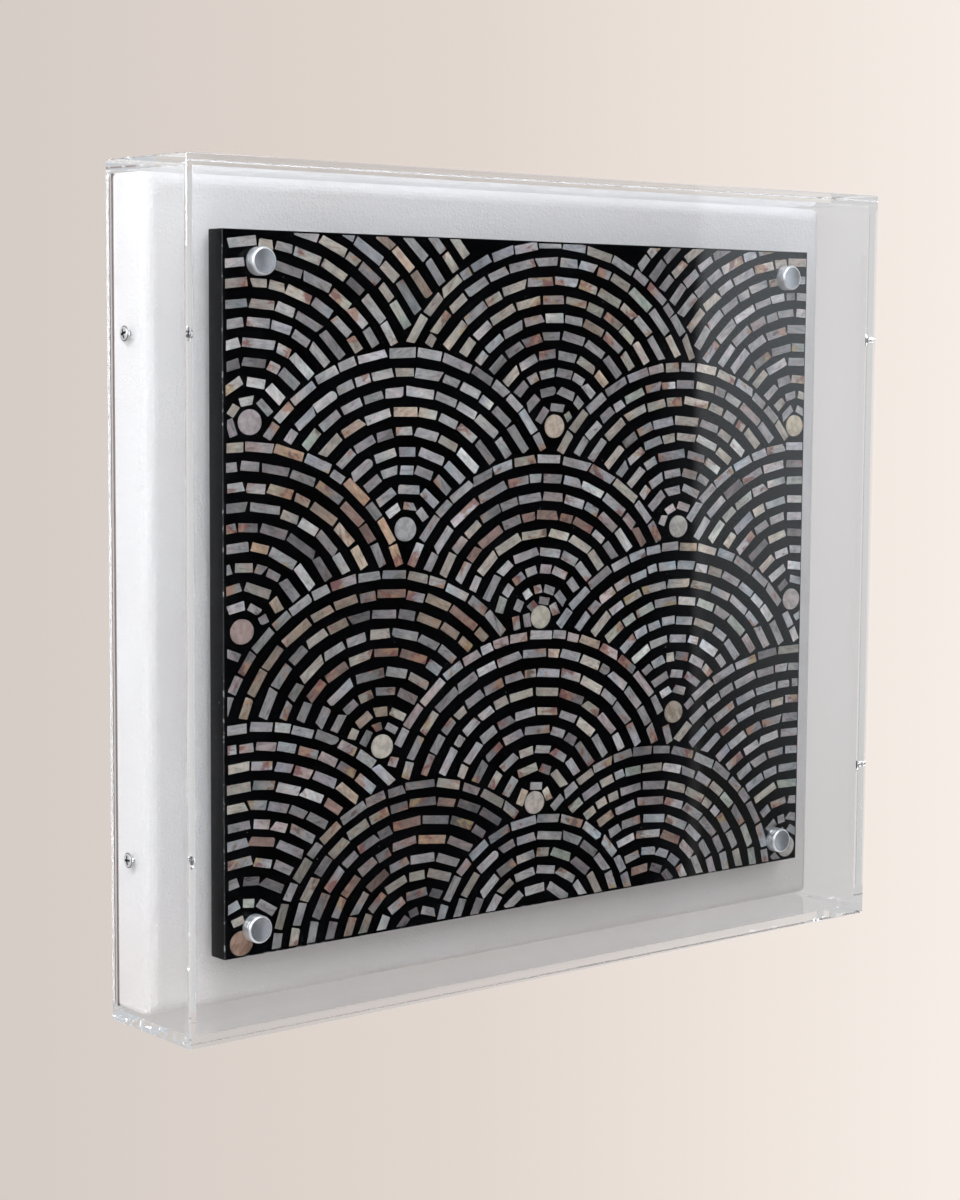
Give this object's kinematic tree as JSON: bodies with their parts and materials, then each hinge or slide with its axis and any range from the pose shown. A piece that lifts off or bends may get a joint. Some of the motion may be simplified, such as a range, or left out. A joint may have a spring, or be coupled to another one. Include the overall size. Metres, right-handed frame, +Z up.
{
  "type": "wave wall panel",
  "caption": "Wall panel: a shell mosaic of overlapping wave fans on a black board, on standoffs over a white backing block, inside a clear acrylic cover.",
  "frame": {"origin": "middle of the backing block's flat back face, where the panel meets the wall", "axes": "+Z up, the front looks along -Y and +Y goes into the wall, +X to the right as seen from the front"},
  "size_m": [0.6884, 0.102, 0.61],
  "materials": {
    "clear_acrylic": "clear polished acrylic",
    "white_plaster": "matte white, finely pebbled",
    "black_ground": "black resin ground, semi-gloss",
    "satin_aluminium": "satin turned",
    "bright_steel": "bright zinc",
    "shell": "polished mother-of-pearl"
  },
  "bodies": {
    "root": {"acrylic_cover": "clear_acrylic", "backing_block": "white_plaster", "mosaic_board": "black_ground", "standoff_cap_top_left": "satin_aluminium", "standoff_barrel_top_left": "satin_aluminium", "standoff_cap_top_right": "satin_aluminium", "standoff_barrel_top_right": "satin_aluminium", "standoff_cap_bottom_left": "satin_aluminium", "standoff_barrel_bottom_left": "satin_aluminium", "standoff_cap_bottom_right": "satin_aluminium", "standoff_barrel_bottom_right": "satin_aluminium", "cover_screw_left_upper": "bright_steel", "cover_screw_left_lower": "bright_steel", "cover_screw_right_upper": "bright_steel", "cover_screw_right_lower": "bright_steel", "shell_disc_r1_left": "shell", "shell_disc_r1_middle": "shell", "shell_disc_r1_right": "shell", "shell_disc_r2_left": "shell", "shell_disc_r2_right": "shell", "shell_disc_r3_left": "shell", "shell_disc_r3_middle": "shell", "shell_disc_r3_right": "shell", "shell_disc_r4_left": "shell", "shell_disc_r4_right": "shell", "shell_disc_r5_left": "shell", "shell_disc_r5_middle": "shell", "shell_disc_r5_right": "shell"}
  },
  "joints": []
}
